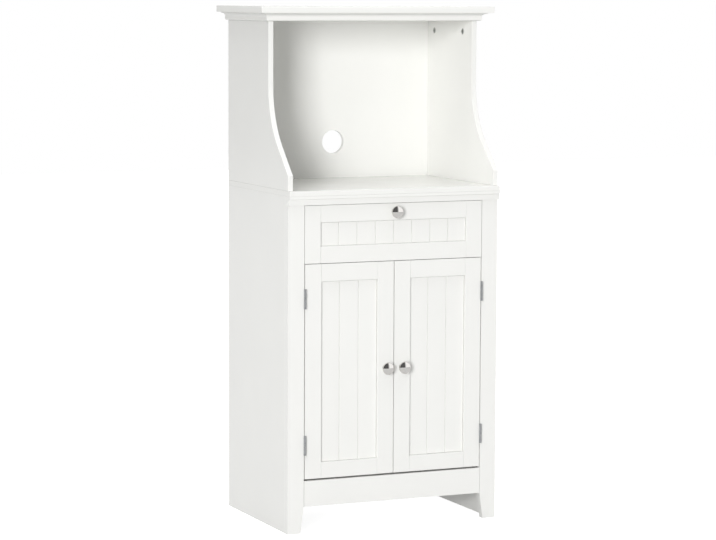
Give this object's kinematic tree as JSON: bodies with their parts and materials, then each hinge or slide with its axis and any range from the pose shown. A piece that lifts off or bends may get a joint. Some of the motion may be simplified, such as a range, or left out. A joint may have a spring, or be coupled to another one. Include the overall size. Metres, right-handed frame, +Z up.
{
  "type": "microwave stand",
  "caption": "White painted microwave stand: an open bay with swept sides and a cable hole over a counter, a beaded drawer and a pair of beaded doors, on tapered front legs.",
  "frame": {"origin": "middle of the footprint on the floor, with knobs and crown counted", "axes": "+Z up, -Y towards the front, +X to the right of someone who faces the stand"},
  "size_m": [0.63, 0.426, 1.285],
  "materials": {
    "white_paint": "satin white paint on fibreboard",
    "white_board": "satin white laminate on board",
    "chrome": "polished",
    "steel": "satin plated",
    "zinc": "zinc plated",
    "beech": "plain",
    "black_plastic": "moulded"
  },
  "bodies": {
    "cabinet": {"lower_side_left": "white_paint", "lower_side_right": "white_paint", "front_stile_left": "white_paint", "front_stile_right": "white_paint", "apron": "white_paint", "cabinet_floor": "white_board", "drawer_rails": "white_board", "lower_back": "white_board", "countertop": "white_paint", "counter_moulding": "white_paint", "upper_side_left": "white_paint", "upper_side_right": "white_paint", "upper_back": "white_paint", "top_panel": "white_paint", "crown_board": "white_paint", "crown_moulding_front": "white_paint", "crown_moulding_left": "white_paint", "crown_moulding_right": "white_paint", "shelf": "white_board", "shelf_pins": "steel", "cam_locks": "zinc", "cam_bolts": "steel", "counter_dowels": "beech", "slide_spacers": "white_board", "slide_channels": "steel", "cabinet_screws": "zinc", "hinge_frame_leaves": "steel", "hinge_pins": "steel", "magnetic_catches": "black_plastic"},
    "drawer": {"drawer_stile_left": "white_paint", "drawer_stile_right": "white_paint", "drawer_top_rail": "white_paint", "drawer_bottom_rail": "white_paint", "drawer_panel": "white_paint", "drawer_box_front": "white_board", "drawer_box_left": "white_board", "drawer_box_right": "white_board", "drawer_box_back": "white_board", "drawer_bottom": "white_board", "drawer_slide_rails": "steel", "drawer_knob": "chrome", "drawer_screws": "zinc"},
    "left_door": {"left_hinge_stile": "white_paint", "left_meeting_stile": "white_paint", "left_top_rail": "white_paint", "left_bottom_rail": "white_paint", "left_panel": "white_paint", "left_knob": "chrome", "left_hinge_leaves": "steel", "left_door_screws": "steel", "left_strike": "steel"},
    "right_door": {"right_hinge_stile": "white_paint", "right_meeting_stile": "white_paint", "right_top_rail": "white_paint", "right_bottom_rail": "white_paint", "right_panel": "white_paint", "right_knob": "chrome", "right_hinge_leaves": "steel", "right_door_screws": "steel", "right_strike": "steel"}
  },
  "joints": [
    {"name": "drawer_slide", "type": "slide", "parent": "cabinet", "child": "drawer", "axis": [0, -1, 0], "range_m": [0, 0.26]},
    {"name": "left_door_swing", "type": "hinge", "parent": "cabinet", "child": "left_door", "pos_m": [-0.23875, -0.1906, 0.3985], "axis": [0, 0, -1], "range_deg": [0, 110]},
    {"name": "right_door_swing", "type": "hinge", "parent": "cabinet", "child": "right_door", "pos_m": [0.23875, -0.1906, 0.3985], "axis": [0, 0, 1], "range_deg": [0, 110]}
  ]
}
